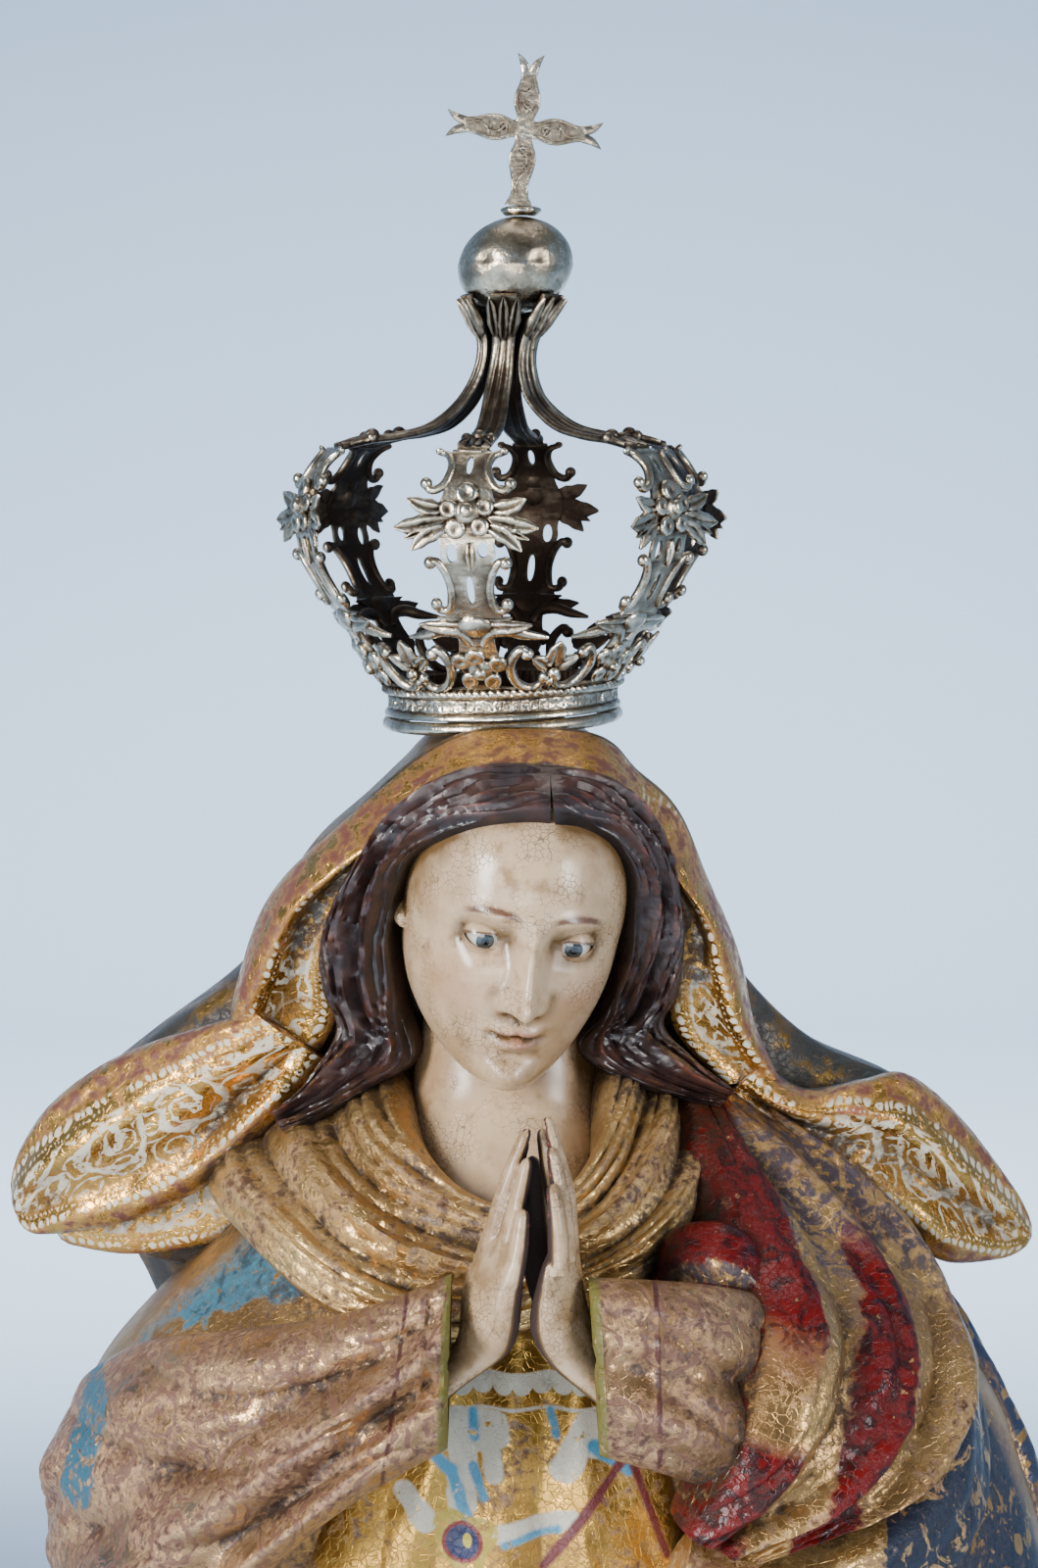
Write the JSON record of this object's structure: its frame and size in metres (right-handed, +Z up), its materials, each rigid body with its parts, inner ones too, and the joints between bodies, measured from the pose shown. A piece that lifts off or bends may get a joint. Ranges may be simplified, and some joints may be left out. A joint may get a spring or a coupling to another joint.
{
  "type": "madonna statue",
  "caption": "Carved, gilded and painted wooden madonna with praying hands and glass eyes, under an openwork silver crown with orb and cross, on a low moulded base.",
  "frame": {"origin": "middle of the base's underside", "axes": "+Z up; the face and hands look towards -Y, and +X is the viewer's right"},
  "size_m": [0.3301, 0.2524, 0.9651],
  "materials": {
    "plinth_wood": "dark stained and waxed wood with worn gilt mouldings",
    "gilded_wood": "carved wood, gessoed, gilded over red bole and painted, worn",
    "flesh_paint": "carved wood with aged glossy ivory paint",
    "eye_glass": "painted glass, glossy",
    "silver": "cast and chased silver, tarnished in the hollows"
  },
  "bodies": {
    "root": {"base": "plinth_wood", "carved_figure": "gilded_wood", "right_hand": "flesh_paint", "left_hand": "flesh_paint", "right_eye": "eye_glass", "left_eye": "eye_glass", "crown_rim": "silver", "crown_band": "silver", "crown_arch_1": "silver", "crown_arch_2": "silver", "crown_arch_3": "silver", "crown_arch_4": "silver", "crown_arch_5": "silver", "crown_arch_6": "silver", "crown_strap_1": "silver", "crown_strap_2": "silver", "crown_strap_3": "silver", "crown_strap_4": "silver", "crown_strap_5": "silver", "crown_strap_6": "silver", "crown_orb": "silver", "crown_washer": "silver", "crown_cross": "silver"}
  },
  "joints": []
}
